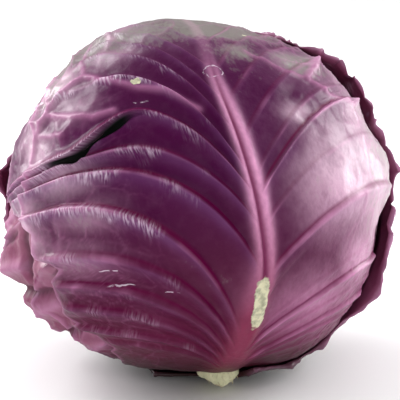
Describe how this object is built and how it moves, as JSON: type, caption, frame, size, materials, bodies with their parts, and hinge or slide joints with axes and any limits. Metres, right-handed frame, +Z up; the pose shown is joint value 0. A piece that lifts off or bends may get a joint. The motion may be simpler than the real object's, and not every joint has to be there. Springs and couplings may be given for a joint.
{
  "type": "red cabbage",
  "caption": "Whole red cabbage: broad ribbed outer leaves with frilled margins wrapped over a dense round heart, with a short cut stem, lying on its underside",
  "frame": {"origin": "Middle of the small flat spot under the head, on the surface it rests on", "axes": "+Z up; -Y is the front, towards which the cut stem leans; +X is to the right seen from the front"},
  "size_m": [0.1695, 0.1631, 0.1506],
  "materials": {
    "outer_leaf": "waxy, satin, with a pale bloom",
    "inner_leaf": "smooth, satin",
    "stalk": "matt, cut and dry"
  },
  "bodies": {
    "root": {"stalk": "stalk", "heart": "inner_leaf", "leaf_right": "outer_leaf", "leaf_front": "outer_leaf", "leaf_back": "outer_leaf", "leaf_left": "outer_leaf"}
  },
  "joints": []
}
